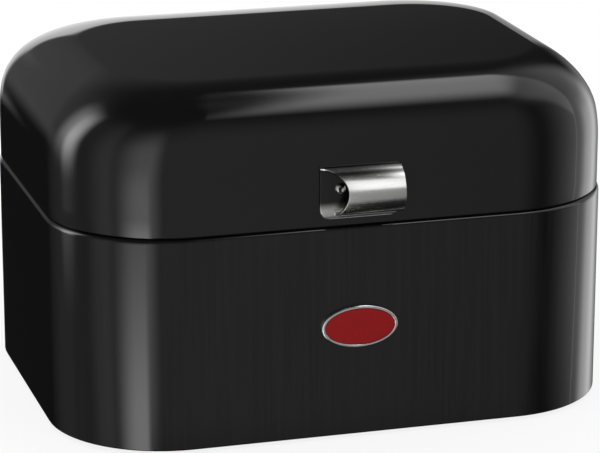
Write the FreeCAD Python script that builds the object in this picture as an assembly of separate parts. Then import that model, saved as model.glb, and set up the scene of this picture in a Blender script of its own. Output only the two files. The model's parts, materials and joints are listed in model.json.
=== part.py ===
"""Bread bin: a sheet-steel bin with a hinged, pillow-shaped lid.

Millimetres. +Z is up, +X is to the right of someone facing the front, and the front faces -Y.
Every piece is drawn about the middle of the bin, with the table at z = 0, and is then moved
along Y by `plan_shift`, so that the origin is the bottom centre of the whole object.
"""
import FreeCAD, Part
import math
import os

Vector = FreeCAD.Vector
UP = Vector(0, 0, 1)
RIGHT = Vector(1, 0, 0)
BACKWARD = Vector(0, 1, 0)

# ---------------------------------------------------------------- driving dimensions
# Bin: a pressed wall with a rolled rim, on a base pan
sheet = 0.8                 # steel sheet of the bin and the lid
bin_width = 280.0
bin_depth = 222.0
bin_corner = 58.0           # plan radius of the upright corners
bin_wall_height = 104.7     # bottom edge of the wall to the top of its rim
rim_roll = 2.4              # outside radius of the rolled rim
rim_width = 5.2             # wall's outer face to the inner edge of the rim
hem_bevel = 0.8             # bevel of the wall's bottom edge
hem_width = 6.0             # wall's outer face to the inner edge of the bottom return
pan_fit = 0.1               # gap between the base pan and the wall
pan_flange = 4.4            # height of the pan's upturned edge
pan_bevel = 1.0             # bevel between the pan's floor and its edge
panel_inset = 56.0          # wall to the raised panel pressed in the pan
panel_rise = 1.6
collar_height = 6.0         # how far the collar stands above the rim

# Rubber feet stuck under the pan
foot_drop = 2.0             # table to the wall's bottom edge
foot_radius = 8.0
foot_inset = 36.0           # wall's outer face to a foot's centre, in X and in Y

# Vent holes in the back wall
vent_radius = 2.5
vent_pitch = 12.0
vent_columns = 5
vent_height = 80.0          # wall's bottom edge to the row of vents

# Lid: three different roll-overs meet in a flat top
lid_gap = 0.3               # rim to the lid's bottom edge, and wall to lid in plan
lid_height = 69.0
lid_corner = 60.0           # plan radius at the bottom edge
lid_top_corner = 39.0       # plan radius of the flat top
end_roll = (33.0, 32.5, 1.6)    # reach in plan, height where it starts, fullness of the curve
front_roll = (28.0, 41.0, 2.0)
back_roll = (64.0, 42.0, 1.8)
lid_bands = 8               # bands between the straight wall and the top

# Handle: one bent strip of stainless steel
handle_sheet = 1.2
handle_width = 39.6
handle_plate = 25.0         # height of the plate
handle_corner = 5.0         # radius of the plate's bottom corners
handle_above_edge = 4.4     # lid's bottom edge to the plate's bottom edge
handle_bend = 1.6           # outside radius of the top fold
handle_reach = 11.2         # lid's face to the front of the curl
curl_radius = 13.2
curl_turn = 35.0            # degrees below level where the curl tightens
lip_radius = 4.9            # outside radius of the tighter lower bend
lip_turn = 106.0            # degrees below level where the strip ends
cutaway_reach = 13.0        # how far the curl's left end is cut back
cutaway_drop = 11.0         # handle's top to the deepest point of that cut
cutaway_return = 25.5       # radius of the cut below its deepest point
screw_radius = 1.5
screw_fit = 0.1             # gap round a screw in its hole
screw_spacing = 19.6
screw_above_middle = 2.0    # middle of the plate to the screws

# Oval badge, plain, on the front of the bin
badge_width = 38.0
badge_height = 21.0
badge_height_up = 55.0      # wall's bottom edge to the badge's middle
badge_thick = 2.2
badge_rim = 1.5
inlay_depth = 0.9
inlay_fit = 0.05

# Hinges
hinge_spacing = 116.0       # between the middles of the two hinges
leaf_sheet = 1.2
leaf_width = 36.0
leaf_height = 17.0          # pin's axis to the far edge of a leaf
leaf_corner = 3.0
pin_radius = 1.5
pin_fit = 0.05              # gap between the pin and the lid's knuckle
knuckle_gap = 0.3           # between neighbouring knuckles, and from a knuckle to what passes it
lip_reach = 4.2             # pin's axis to the end of the stop lip
lip_top = 1.65              # pin's axis to the top of the stop lip
lip_sheet = 1.15

# ---------------------------------------------------------------- derived places
wall_bottom = foot_drop
rim_top = wall_bottom + bin_wall_height
floor_bottom = wall_bottom + sheet
floor_top = floor_bottom + sheet
wall_front = -bin_depth / 2
wall_back = bin_depth / 2
lid_bottom = rim_top + lid_gap
lid_top = lid_bottom + lid_height
lid_front = wall_front + lid_gap
lid_back = wall_back - lid_gap
knuckle_radius = pin_radius + pin_fit + leaf_sheet
axis_y = wall_back + knuckle_radius + knuckle_gap
axis_z = (rim_top + lid_bottom) / 2
handle_bottom = lid_bottom + handle_above_edge
handle_top = handle_bottom + handle_plate
screw_z = handle_bottom + handle_plate / 2 + screw_above_middle
badge_z = wall_bottom + badge_height_up
hinge_places = {"left": -hinge_spacing / 2, "right": hinge_spacing / 2}
screw_places = (-screw_spacing / 2, screw_spacing / 2)
front_most = lid_front - handle_reach
back_most = axis_y + max(lip_reach, knuckle_radius)
plan_shift = -(front_most + back_most) / 2


# ---------------------------------------------------------------- helpers
def plan_wire(half_width, front, back, radius, z):
    """Rounded rectangle in plan, from y = front to y = back, at height z."""
    edges = []
    last = None
    corners = ((1, front + radius, -90), (1, back - radius, 0),
               (-1, back - radius, 90), (-1, front + radius, 180))
    for side, y, start in corners:
        centre = Vector(side * (half_width - radius), y, z)
        angles = [math.radians(start + turn) for turn in (0, 45, 90)]
        arc = [centre + Vector(math.cos(a), math.sin(a), 0) * radius for a in angles]
        if last is None:
            first = arc[0]
        else:
            edges.append(Part.makeLine(last, arc[0]))
        edges.append(Part.Arc(*arc).toShape())
        last = arc[2]
    edges.append(Part.makeLine(last, first))
    return Part.Wire(edges)


def bin_stack(*levels):
    """Solid with the bin's plan, through levels of (how far it is drawn in, height)."""
    sections = [plan_wire(bin_width / 2 - inset, wall_front + inset, wall_back - inset,
                          bin_corner - inset, z) for inset, z in levels]
    return Part.makeLoft(sections, True, True)


def quarter_roll(radius, inset, z, steps):
    """Levels over a rolled edge of the bin's plan, from its upright side up to its level top."""
    turns = [math.radians(90) * i / steps for i in range(steps + 1)]
    return [(inset + radius * (1 - math.cos(a)), z - radius * (1 - math.sin(a))) for a in turns]


def rod(start, direction, radius, length):
    """Cylinder from `start` along `direction`."""
    return Part.makeCylinder(radius, length, start, direction)


# ---------------------------------------------------------------- bin
def bin_wall():
    """Wall with a rolled rim at the top, a short return at the bottom and vents at the back."""
    outer = bin_stack((hem_bevel, wall_bottom), (0, wall_bottom + hem_bevel),
                      *quarter_roll(rim_roll, 0, rim_top, 3))
    inner = bin_stack((sheet, wall_bottom + sheet),
                      *quarter_roll(rim_roll - sheet, sheet, rim_top - sheet, 1))
    mouth = bin_stack((rim_width, rim_top - 2 * sheet), (rim_width, rim_top + sheet))
    underside = bin_stack((hem_width, wall_bottom - sheet), (hem_width, wall_bottom + 2 * sheet))
    vents = [rod(Vector((i - (vent_columns - 1) / 2) * vent_pitch, wall_back - 2 * sheet,
                        wall_bottom + vent_height), BACKWARD, vent_radius, 3 * sheet)
             for i in range(vent_columns)]
    return outer.cut([inner, mouth, underside] + vents)


def panel_block(inset, low):
    """Low block with 45 degree sides, for the panel pressed up in the base pan."""
    sections = []
    for rise in (0.0, panel_rise):
        sections.append(plan_wire(bin_width / 2 - inset - rise, wall_front + inset + rise,
                                  wall_back - inset - rise, bin_corner / 2 - rise, low + rise))
    return Part.makeLoft(sections, True, True)


def base_pan():
    """Shallow tray that stands on the wall's bottom return, stiffened by a raised panel."""
    inset = sheet + pan_fit
    top = floor_bottom + pan_flange
    outer = bin_stack((inset + pan_bevel, floor_bottom), (inset, floor_bottom + pan_bevel),
                      (inset, top))
    inner = bin_stack((inset + sheet, floor_top), (inset + sheet, top + sheet))
    panel_top = panel_block(panel_inset - sheet * math.tan(math.radians(22.5)), floor_top)
    return outer.cut(inner).fuse(panel_top).cut(panel_block(panel_inset, floor_bottom))


def mouth_collar():
    """Band welded to the inner edge of the rim. It stands above the rim and keeps the lid in line."""
    low = rim_top - 2 * sheet
    top = rim_top + collar_height
    outside = bin_stack((rim_width, low), (rim_width, top))
    bore = bin_stack((rim_width + sheet, low - sheet), (rim_width + sheet, top + sheet))
    return outside.cut(bore)


# ---------------------------------------------------------------- feet
def foot_places():
    """Table point under the middle of each foot."""
    x = bin_width / 2 - foot_inset
    y = bin_depth / 2 - foot_inset
    return {"front_left": Vector(-x, -y, 0), "front_right": Vector(x, -y, 0),
            "back_left": Vector(-x, y, 0), "back_right": Vector(x, y, 0)}


def foot(place):
    """Round rubber pad."""
    return rod(place, UP, foot_radius, floor_bottom)


# ---------------------------------------------------------------- lid
def roll_inset(roll, height, skin):
    """How far a roll-over has moved in at `height` above the lid's bottom edge.

    The curve starts upright, ends level at the top, and is an ellipse where its fullness is 2.
    `skin` is 0 for the outside of the sheet and its thickness for the inside.
    """
    reach, start, fullness = roll
    climb = max(0.0, (height - start) / (lid_height - skin - start))
    climb = min(1.0, climb)
    return skin + (reach - skin) * (1 - (1 - climb ** fullness) ** (1 / fullness))


def lid_section(height, blend, skin):
    """Plan section of the lid. `blend` runs from 0 at the straight wall to 1 at the top."""
    corner = lid_top_corner + (lid_corner - lid_top_corner) * math.sqrt(1 - blend ** 2) - skin
    return plan_wire(bin_width / 2 - lid_gap - roll_inset(end_roll, height, skin),
                     lid_front + roll_inset(front_roll, height, skin),
                     lid_back - roll_inset(back_roll, height, skin),
                     corner, lid_bottom + height)


def lid_block(skin, low):
    """Solid pillow under the lid's outside or inside surface, down to `low` above its edge."""
    start = min(end_roll[1], front_roll[1], back_roll[1])
    top = lid_height - skin
    sections = [lid_section(low, 0.0, skin)]
    for i in range(lid_bands + 1):
        blend = math.sin(math.radians(90) * i / lid_bands)
        sections.append(lid_section(start + (top - start) * blend, blend, skin))
    return Part.makeLoft(sections, True, True)


def lid_shell():
    """Pressed pillow of even thickness, with holes for the handle's screws."""
    holes = [rod(Vector(x, lid_front - sheet, screw_z), BACKWARD, screw_radius + screw_fit, 3 * sheet)
             for x in screw_places]
    return lid_block(0.0, 0.0).cut([lid_block(sheet, -sheet)] + holes)


# ---------------------------------------------------------------- handle
def handle_point(forward, drop, x=0.0):
    """Point on the handle, from its distance in front of the lid and below the plate's top."""
    return Vector(x, lid_front - forward, handle_top - drop)


def curl_arc(centre, radius, start, end):
    """Arc of the handle's side view. Angles are in degrees below level, seen from the pin side."""
    points = []
    for angle in (start, (start + end) / 2, end):
        a = math.radians(angle)
        points.append(handle_point(centre[0] + radius * math.cos(a),
                                   centre[1] + radius * math.sin(a), -handle_width / 2))
    return Part.Arc(*points)


def handle_curl():
    """The strip from the top fold round to its free edge, at full width."""
    fold_rise = math.sqrt((curl_radius - handle_bend) ** 2
                          - (handle_bend - handle_reach + curl_radius) ** 2)
    curl = (handle_reach - curl_radius, handle_bend + fold_rise)
    fold = (handle_bend, handle_bend)
    meeting = math.degrees(math.atan2(fold[1] - curl[1], fold[0] - curl[0]))
    a = math.radians(curl_turn)
    lip = (curl[0] + (curl_radius - lip_radius) * math.cos(a),
           curl[1] + (curl_radius - lip_radius) * math.sin(a))
    bends = ((fold, handle_bend, -180.0, meeting), (curl, curl_radius, meeting, curl_turn),
             (lip, lip_radius, curl_turn, lip_turn))
    outside = [curl_arc(c, r, start, end) for c, r, start, end in bends]
    inside = [curl_arc(c, r - handle_sheet, start, end) for c, r, start, end in bends]
    ends = [Part.LineSegment(outside[0].StartPoint, inside[0].StartPoint),
            Part.LineSegment(outside[-1].EndPoint, inside[-1].EndPoint)]
    wire = Part.Wire(Part.__sortEdges__([c.toShape() for c in outside + inside + ends]))
    return Part.Face(wire).extrude(RIGHT * handle_width)


def handle_cutaway():
    """Tool that cuts the curl's left end back, which bares the left screw for the key."""
    left = -handle_width / 2
    forward = handle_sheet

    def point(across, drop):
        return handle_point(forward, drop, left + across)

    quarter = Part.Ellipse(point(cutaway_reach, cutaway_drop), point(0, 0), point(0, cutaway_drop))
    edges = [Part.ArcOfEllipse(quarter, 0, math.pi / 2).toShape()]
    centre = cutaway_reach - cutaway_return
    turn = math.asin((handle_plate - cutaway_drop) / cutaway_return)
    lower = [point(centre + cutaway_return * math.cos(a), cutaway_drop + cutaway_return * math.sin(a))
             for a in (0, turn / 2, turn)]
    edges.append(Part.Arc(*lower).toShape())
    corners = [lower[2], point(-handle_sheet, handle_plate), point(-handle_sheet, 0), point(0, 0)]
    edges += [Part.makeLine(a, b) for a, b in zip(corners, corners[1:])]
    wire = Part.Wire(Part.__sortEdges__(edges))
    return Part.Face(wire).extrude(-BACKWARD * (handle_reach + handle_sheet))


def handle():
    """Plate against the lid, folded over at the top into a curl that a finger hooks under."""
    corner = handle_point(handle_sheet, handle_plate, -handle_width / 2)
    plate = Part.makeBox(handle_width, handle_sheet, handle_plate - handle_bend, corner)
    low = [e for e in plate.Edges if e.BoundBox.ZMax < handle_bottom + 1e-4
           and e.BoundBox.XLength < 1e-4]
    plate = plate.makeFillet(handle_corner, low)
    holes = [rod(Vector(x, lid_front, screw_z), -BACKWARD, screw_radius + screw_fit, 2 * handle_sheet)
             for x in screw_places]
    curl = handle_curl().cut(handle_cutaway())
    return curl.fuse(plate.cut(holes)).removeSplitter()


# ---------------------------------------------------------------- badge
def oval(y, depth, shrink):
    """Flat oval from y towards the viewer, drawn in by `shrink` from the badge's outline."""
    centre = Vector(0, y, badge_z)
    ellipse = Part.Ellipse(centre + RIGHT * (badge_width / 2 - shrink),
                           centre + UP * (badge_height / 2 - shrink), centre)
    return Part.Face(Part.Wire(ellipse.toShape())).extrude(-BACKWARD * depth)


def badge_plate():
    """Oval plate with a recess that leaves a raised rim."""
    plate = oval(wall_front, badge_thick, 0)
    return plate.cut(oval(wall_front - badge_thick + inlay_depth, badge_thick, badge_rim))


def badge_inlay():
    """Enamel that fills the badge's recess."""
    return oval(wall_front - badge_thick + inlay_depth, inlay_depth, badge_rim + inlay_fit)


# ---------------------------------------------------------------- hinges
def knuckle_spans(middle):
    """X ranges of the three knuckles, left to right, with a running gap between them."""
    width = leaf_width / 3
    left = middle - leaf_width / 2
    gap = knuckle_gap / 2
    return [(left + i * width + (gap if i else 0), left + (i + 1) * width - (gap if i < 2 else 0))
            for i in range(3)]


def leaf_plate(middle, face, direction):
    """Flat of a leaf against `face`, with its far corners cut off."""
    near = knuckle_radius + knuckle_gap
    low = axis_z + near if direction > 0 else axis_z - leaf_height
    plate = Part.makeBox(leaf_width, leaf_sheet, leaf_height - near,
                         Vector(middle - leaf_width / 2, face, low))
    far = axis_z + direction * leaf_height
    edges = [e for e in plate.Edges if e.BoundBox.XLength < 1e-4 and e.BoundBox.ZLength < 1e-4
             and abs(e.BoundBox.ZMin - far) < 1e-4]
    return plate.makeChamfer(leaf_corner, edges)


def knuckle(span, face, direction, bore):
    """Rolled eye of a leaf with the tongue that joins it to the leaf's flat."""
    start, end = span
    tube = rod(Vector(start, axis_y, axis_z), RIGHT, knuckle_radius, end - start)
    near = leaf_sheet / 2
    far = knuckle_radius + knuckle_gap + leaf_sheet
    low = axis_z + near if direction > 0 else axis_z - far
    tongue = Part.makeBox(end - start, leaf_sheet, far - near, Vector(start, face, low))
    eye = rod(Vector(start, axis_y, axis_z), RIGHT, bore, end - start)
    return tube.fuse(tongue).cut(eye)


def stop_lip(span):
    """Tail of a rolled eye that stands out backwards. The open lid's leaf comes down on it."""
    start, end = span
    reach = lip_reach - pin_radius - leaf_sheet / 2
    corner = Vector(start, axis_y + lip_reach - reach, axis_z + lip_top - lip_sheet)
    return Part.makeBox(end - start, reach, lip_sheet, corner)


def bin_leaf(middle):
    """Leaf on the bin: two outer knuckles that grip the pin, each with a stop lip."""
    spans = knuckle_spans(middle)
    leaf = leaf_plate(middle, wall_back, -1)
    for span in (spans[0], spans[2]):
        leaf = leaf.fuse([knuckle(span, wall_back, -1, pin_radius), stop_lip(span)])
    pin_room = rod(Vector(spans[0][0], axis_y, axis_z), RIGHT, pin_radius, leaf_width)
    return leaf.cut(pin_room).removeSplitter()


def lid_leaf(middle):
    """Leaf on the lid: one middle knuckle that turns on the pin."""
    span = knuckle_spans(middle)[1]
    leaf = leaf_plate(middle, lid_back, 1)
    return leaf.fuse(knuckle(span, lid_back, 1, pin_radius + pin_fit)).removeSplitter()


def hinge_pin(middle):
    """Pin held in the outer knuckles."""
    return rod(Vector(middle - leaf_width / 2, axis_y, axis_z), RIGHT, pin_radius, leaf_width)


# ---------------------------------------------------------------- all pieces
def build():
    """Every sub-part by name."""
    pieces = {"bin_wall": bin_wall(), "base_pan": base_pan(), "mouth_collar": mouth_collar(),
              "badge_plate": badge_plate(), "badge_inlay": badge_inlay(),
              "lid_shell": lid_shell(), "handle": handle()}
    for name, place in foot_places().items():
        pieces["foot_" + name] = foot(place)
    for side, middle in hinge_places.items():
        pieces["hinge_bin_leaf_" + side] = bin_leaf(middle)
        pieces["hinge_lid_leaf_" + side] = lid_leaf(middle)
        pieces["hinge_pin_" + side] = hinge_pin(middle)
    return pieces


os.makedirs("parts", exist_ok=True)
for name, shape in build().items():
    shape.translate(BACKWARD * plan_shift)
    shape.exportStep("parts/" + name + ".step")
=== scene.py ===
"""Bread bin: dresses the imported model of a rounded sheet-steel bin with a hinged, pillow-shaped lid.

Metres. +Z is up, +X is to the right of someone facing the front, and the front faces -Y.
"""
import json
import math

import bpy
import numpy as np
from bpy.props import FloatProperty, FloatVectorProperty, IntProperty, PointerProperty
from bpy.types import Operator, Panel, PropertyGroup
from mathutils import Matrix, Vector

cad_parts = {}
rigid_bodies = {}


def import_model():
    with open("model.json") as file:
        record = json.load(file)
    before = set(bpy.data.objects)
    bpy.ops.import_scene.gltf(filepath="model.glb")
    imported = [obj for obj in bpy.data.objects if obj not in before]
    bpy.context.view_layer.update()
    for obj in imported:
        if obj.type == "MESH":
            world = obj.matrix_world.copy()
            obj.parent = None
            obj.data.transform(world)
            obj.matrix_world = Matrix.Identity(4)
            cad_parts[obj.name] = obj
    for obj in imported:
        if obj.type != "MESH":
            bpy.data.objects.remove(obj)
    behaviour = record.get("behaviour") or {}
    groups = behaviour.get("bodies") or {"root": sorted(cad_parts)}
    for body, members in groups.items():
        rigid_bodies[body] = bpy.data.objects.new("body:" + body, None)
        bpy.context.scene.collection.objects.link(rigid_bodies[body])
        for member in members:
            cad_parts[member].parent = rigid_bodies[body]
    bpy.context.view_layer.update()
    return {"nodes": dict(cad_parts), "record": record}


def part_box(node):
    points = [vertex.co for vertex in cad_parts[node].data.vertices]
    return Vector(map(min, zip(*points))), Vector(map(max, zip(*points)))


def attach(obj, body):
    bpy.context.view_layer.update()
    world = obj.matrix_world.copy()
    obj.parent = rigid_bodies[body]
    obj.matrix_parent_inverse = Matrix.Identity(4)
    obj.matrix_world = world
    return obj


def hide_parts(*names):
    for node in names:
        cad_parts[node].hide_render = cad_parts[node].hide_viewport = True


bl_info = {
    "name": "Bread Bin",
    "version": (1, 0, 0),
    "blender": (4, 5, 0),
    "location": "3D View > Sidebar > Bread Bin",
    "description": "Builds the enamelled bin, its lid, handle, badge and hinges round their solids",
    "category": "Object",
}

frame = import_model()
MM = 0.001
SHARP = math.radians(32)        # angle past which an edge is shown sharp
PLAY = 0.01 * MM                # slack when a place is compared with a face
SENSOR = 36.0                   # width of the camera's sensor, in millimetres


def node_box(name):
    """Lowest and highest corners of a solid, as two arrays."""
    low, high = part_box(name)
    return np.array(low), np.array(high)


def record_colour(slot):
    """Base colour that the record gives a material slot."""
    for material in frame["record"]["materials"]:
        if material["slot"] == slot:
            return tuple(material["base_color"])
    raise ValueError("no slot " + slot)


# ---------------------------------------------------------------- settings
def length(name, description, millimetres):
    """Distance property, with its default given in millimetres."""
    return FloatProperty(name=name, description=description, default=millimetres * MM,
                         min=0.0, precision=5, subtype="DISTANCE", unit="LENGTH")


def colour(name, description, default):
    """Colour property."""
    return FloatVectorProperty(name=name, description=description, default=default, size=3,
                               min=0.0, max=1.0, subtype="COLOR")


def amount(name, description, default, high=1.0):
    """Plain number between 0 and `high`."""
    return FloatProperty(name=name, description=description, default=default, min=0.0, max=high)


def angle(name, description, degrees):
    """Angle property, with its default given in degrees."""
    return FloatProperty(name=name, description=description, default=math.radians(degrees),
                         subtype="ANGLE", unit="ROTATION")


class BIN_PG_sheet(PropertyGroup):
    """Sizes of the enamelled sheet pieces."""
    sheet: length("Sheet", "Thickness of the steel sheet", 0.8)
    bin_corner: length("Bin corner", "Plan radius of the bin's upright corners", 58.0)
    rim_roll: length("Rim roll", "Outside radius of the rolled rim", 2.4)
    rim_width: length("Rim width", "Wall's outer face to the rim's inner edge", 5.2)
    hem_bevel: length("Hem", "Outside radius of the wall's bottom edge", 0.8)
    hem_width: length("Hem width", "Wall's outer face to the edge of the bottom return", 6.0)
    vent_radius: length("Vent radius", "Radius of the vents in the back wall", 2.5)
    vent_pitch: length("Vent pitch", "Distance between two vents", 12.0)
    vent_height: length("Vent height", "Wall's bottom edge to the row of vents", 80.0)
    vent_count: IntProperty(name="Vents", description="Number of vents", default=5, min=1)
    panel_inset: length("Panel inset", "Wall to the panel pressed up in the base", 56.0)
    panel_rise: length("Panel rise", "Height of that panel", 1.6)


class BIN_PG_lid(PropertyGroup):
    """Sizes of the lid: three different roll-overs meet in a flat top."""
    corner: length("Lid corner", "Plan radius at the lid's bottom edge", 60.0)
    top_corner: length("Top corner", "Plan radius of the flat top", 39.0)
    end_reach: length("End reach", "How far the ends roll in", 33.0)
    end_start: length("End start", "Height at which the ends begin to roll in", 32.5)
    end_fullness: amount("End fullness", "2 is an ellipse", 1.6, 4.0)
    front_reach: length("Front reach", "How far the front rolls in", 28.0)
    front_start: length("Front start", "Height at which the front begins to roll in", 41.0)
    front_fullness: amount("Front fullness", "2 is an ellipse", 2.0, 4.0)
    back_reach: length("Back reach", "How far the back rolls in", 64.0)
    back_start: length("Back start", "Height at which the back begins to roll in", 42.0)
    back_fullness: amount("Back fullness", "2 is an ellipse", 1.8, 4.0)
    soft_start: length("Soft start", "How far above and below its start a roll-over sets in softly", 14.0)
    hem_height: length("Hem height", "Height of the sheet folded up inside the bottom edge", 6.0)


class BIN_PG_handle(PropertyGroup):
    """Sizes of the handle, one bent strip."""
    sheet: length("Strip", "Thickness of the strip", 1.2)
    bend: length("Top fold", "Outside radius of the fold at the top", 1.6)
    curl: length("Curl", "Outside radius of the curl", 13.2)
    curl_turn: angle("Curl turn", "Angle below level where the curl tightens", 35.0)
    lip: length("Lip", "Outside radius of the tighter lower bend", 4.9)
    lip_turn: angle("Lip turn", "Angle below level where the strip ends", 106.0)
    corner: length("Corner", "Radius of the plate's bottom corners", 5.0)
    edge: length("Edge", "Radius of the strip's eased edges", 0.22)
    lean: amount("Lean", "Sideways slope that the steel's sheen shows", 0.13)
    # Painted shade: hollow, hollow_fade and hollow_shade set where and how deeply the handle's steel colour
    # is darkened behind the curl, standing in for shade and dark reflections there.
    hollow: length("Hollow", "Handle's top to where the dull steel behind the curl starts to fade", 16.5)
    hollow_fade: length("Hollow fade", "Distance over which that dull steel fades", 5.0)
    hollow_shade: amount("Hollow shade", "Colour of the dull steel as a share of the bright steel's", 0.06)
    cutaway_reach: length("Cut-back reach", "How far the curl's left end is cut back", 11.3)
    cutaway_drop: length("Cut-back drop", "Handle's top to the deepest point of the cut", 10.5)
    cutaway_return: length("Cut-back return", "Radius of the cut below its deepest point", 16.0)
    screw_spacing: length("Screw spacing", "Distance between the two screws", 19.6)
    screw_height: length("Screw height", "Plate's bottom edge to the screws", 14.5)
    screw_head: length("Screw head", "Radius of a button head", 2.85)


class BIN_PG_finish(PropertyGroup):
    """Colours and finishes."""
    enamel: colour("Enamel", "Gloss black of the bin and the lid", (0.0035, 0.0035, 0.0035))
    enamel_roughness: amount("Enamel roughness", "Roughness of the gloss enamel", 0.06)
    handle: colour("Handle steel", "Brushed steel of the handle", record_colour("handle_steel"))
    handle_roughness: amount("Handle roughness", "Roughness of the handle's steel", 0.24)
    hinge: colour("Hinge steel", "Steel of the hinges", record_colour("hinge_steel"))
    hinge_roughness: amount("Hinge roughness", "Roughness of the hinges' steel", 0.32)
    chrome: colour("Badge metal", "Polished metal of the badge's rim", record_colour("badge_chrome"))
    badge: colour("Badge enamel", "Red enamel of the badge", (0.225, 0.003, 0.004))
    rubber: colour("Rubber", "Rubber of the feet", record_colour("foot_rubber"))


class BIN_PG_stage(PropertyGroup):
    """Camera and light."""
    camera_place: FloatVectorProperty(name="Camera", description="Where the camera stands",
                                      default=(-0.4173, -1.4270, 0.5167), size=3, unit="LENGTH")
    camera_yaw: angle("Yaw", "Camera's turn to the left of the front", 16.40)
    camera_pitch: angle("Pitch", "How far the camera looks down", 16.54)
    camera_roll: angle("Roll", "Turn about the line of sight", 0.06)
    camera_lens: amount("Lens", "Focal length in millimetres on a 36 mm sensor", 182.63, 1000.0)
    lamp_way: FloatVectorProperty(name="Soft box", description="Way from the handle to its soft box",
                                  default=(0.09, -0.84, 0.50), size=3)
    lamp_far: length("Soft box distance", "Handle to its soft box", 900.0)
    lamp_long: length("Soft box length", "Length of the soft box", 700.0)
    lamp_tall: length("Soft box height", "Height of the soft box", 600.0)
    lamp_bright: amount("Soft box brightness", "Radiance of the soft box", 1.4, 10.0)
    floor: colour("Floor", "Pale floor", (0.96, 0.96, 0.96))
    floor_white: amount("Floor white", "How far the camera sees the floor near the object as white", 0.85)
    floor_radius: length("Floor radius", "Radius of the floor", 6000.0)
    shadow_near: length("Shadow", "Middle to where the shadow on the floor starts to fade", 150.0)
    shadow_far: length("Shadow's end", "Middle to where the floor looks plain white", 500.0)


# ---------------------------------------------------------------- mesh helpers
def grid_faces(rows, columns):
    """Quads over a grid of rows x columns vertices, whose last column meets its first."""
    row = np.arange(rows - 1)[:, None] * columns
    here = np.arange(columns)[None, :]
    nxt = (here + 1) % columns
    return np.stack([row + here, row + nxt, row + columns + nxt, row + columns + here], -1).reshape(-1, 4)


def new_mesh(name, points, faces, caps=()):
    """Mesh from an array of points, an array of quads and a few wider faces."""
    mesh = bpy.data.meshes.new(name)
    rings = [list(map(int, cap)) for cap in caps]
    mesh.from_pydata(points.reshape(-1, 3).tolist(), [], faces.tolist() + rings)
    mesh.validate()
    mesh.update()
    return mesh


def tube_mesh(name, points):
    """Closed skin over a stack of rings, points[ring, place], with its ends capped."""
    rows, columns = points.shape[:2]
    first = np.arange(columns)
    caps = [first[::-1], first + (rows - 1) * columns]
    return new_mesh(name, points, grid_faces(rows, columns), caps)


def join_meshes(name, meshes):
    """One mesh from several, each kept as its own shell."""
    points, faces, start = [], [], 0
    for mesh in meshes:
        places = np.empty(len(mesh.vertices) * 3)
        mesh.vertices.foreach_get("co", places)
        points.append(places.reshape(-1, 3))
        faces += [[start + v for v in polygon.vertices] for polygon in mesh.polygons]
        start += len(mesh.vertices)
        bpy.data.meshes.remove(mesh)
    joined = bpy.data.meshes.new(name)
    joined.from_pydata(np.concatenate(points).tolist(), [], faces)
    joined.validate()
    return joined


def place_piece(name, mesh, body, nodes, material):
    """Object for a finished mesh, smooth but for its sharp edges, riding on a body."""
    old = bpy.data.objects.get(name)
    if old is not None:
        bpy.data.objects.remove(old, do_unlink=True)
    mesh.polygons.foreach_set("use_smooth", np.ones(len(mesh.polygons), dtype=bool))
    mesh.set_sharp_from_angle(angle=SHARP)
    mesh.materials.clear()
    mesh.materials.append(material)
    piece = bpy.data.objects.new(name, mesh)
    bpy.context.scene.collection.objects.link(piece)
    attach(piece, body)
    if nodes:
        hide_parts(*nodes)
    return piece


def dress_node(name, material):
    """Gives a finish to a solid that keeps its own shape."""
    slots = frame["nodes"][name].data.materials
    slots.clear()
    slots.append(material)


def plan_rings(half_width, front, back, corner):
    """Rounded rectangles in plan, one for each value of the four arrays.

    Every corner is its centre plus radius * (cos t, sin t), with t over a quarter turn.
    """
    half_width, front, back, corner = (np.broadcast_to(np.asarray(v, float), np.shape(half_width))
                                       [:, None, None] for v in (half_width, front, back, corner))
    quarter = np.radians([-90.0, 0.0, 90.0, 180.0])[:, None] + np.linspace(0, math.pi / 2, 21)
    side = np.array([1, 1, -1, -1])[:, None]
    at_back = np.array([0, 1, 1, 0])[:, None]
    x = side * (half_width - corner) + corner * np.cos(quarter)
    y = np.where(at_back, back - corner, front + corner) + corner * np.sin(quarter)
    rows = x.shape[0]
    return x.reshape(rows, -1), y.reshape(rows, -1)


def stacked(x, y, z):
    """Points of a stack of rings, from their plans and one height each."""
    return np.stack([x, y, np.broadcast_to(np.asarray(z)[:, None], x.shape)], -1)


def arc(centre, radius, start, end, steps):
    """Points centre + radius * (cos t, sin t), with t from start to end in degrees."""
    t = np.radians(np.linspace(start, end, steps + 1))
    return np.stack([centre[0] + radius * np.cos(t), centre[1] + radius * np.sin(t)], -1)


def turned_rings(profile, base, direction, segments=48):
    """Rings of a turned piece. The profile is (radius, distance along `direction`) from `base`.

    A ring's points are its centre on the axis plus radius * (cos t, sin t) square to the axis.
    """
    profile = np.asarray(profile, float)
    axis = np.asarray(direction, float)
    across = np.array([axis[1], axis[2], axis[0]])
    other = np.cross(axis, across)
    t = np.linspace(0, 2 * math.pi, segments, endpoint=False)
    ring = np.cos(t)[:, None] * across + np.sin(t)[:, None] * other
    return np.asarray(base) + profile[:, :1, None] * ring + profile[:, 1:, None] * axis


# ---------------------------------------------------------------- shader helpers
def make_node(tree, kind, values=None, **settings):
    """Shader node with its settings made, and with links or plain values in its inputs."""
    node = tree.nodes.new("ShaderNode" + kind)
    for setting, value in settings.items():
        setattr(node, setting, value)
    for socket, value in (values or {}).items():
        if isinstance(value, bpy.types.NodeSocket):
            tree.links.new(value, node.inputs[socket])
        else:
            node.inputs[socket].default_value = value
    return node


def new_material(name):
    """Empty node material, with its node tree, its shader and its Object coordinates."""
    material = bpy.data.materials.get(name) or bpy.data.materials.new(name)
    material.use_nodes = True
    tree = material.node_tree
    tree.nodes.clear()
    shader = make_node(tree, "BsdfPrincipled")
    make_node(tree, "OutputMaterial", {"Surface": shader.outputs["BSDF"]})
    return material, tree, shader, make_node(tree, "TexCoord").outputs["Object"]


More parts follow.
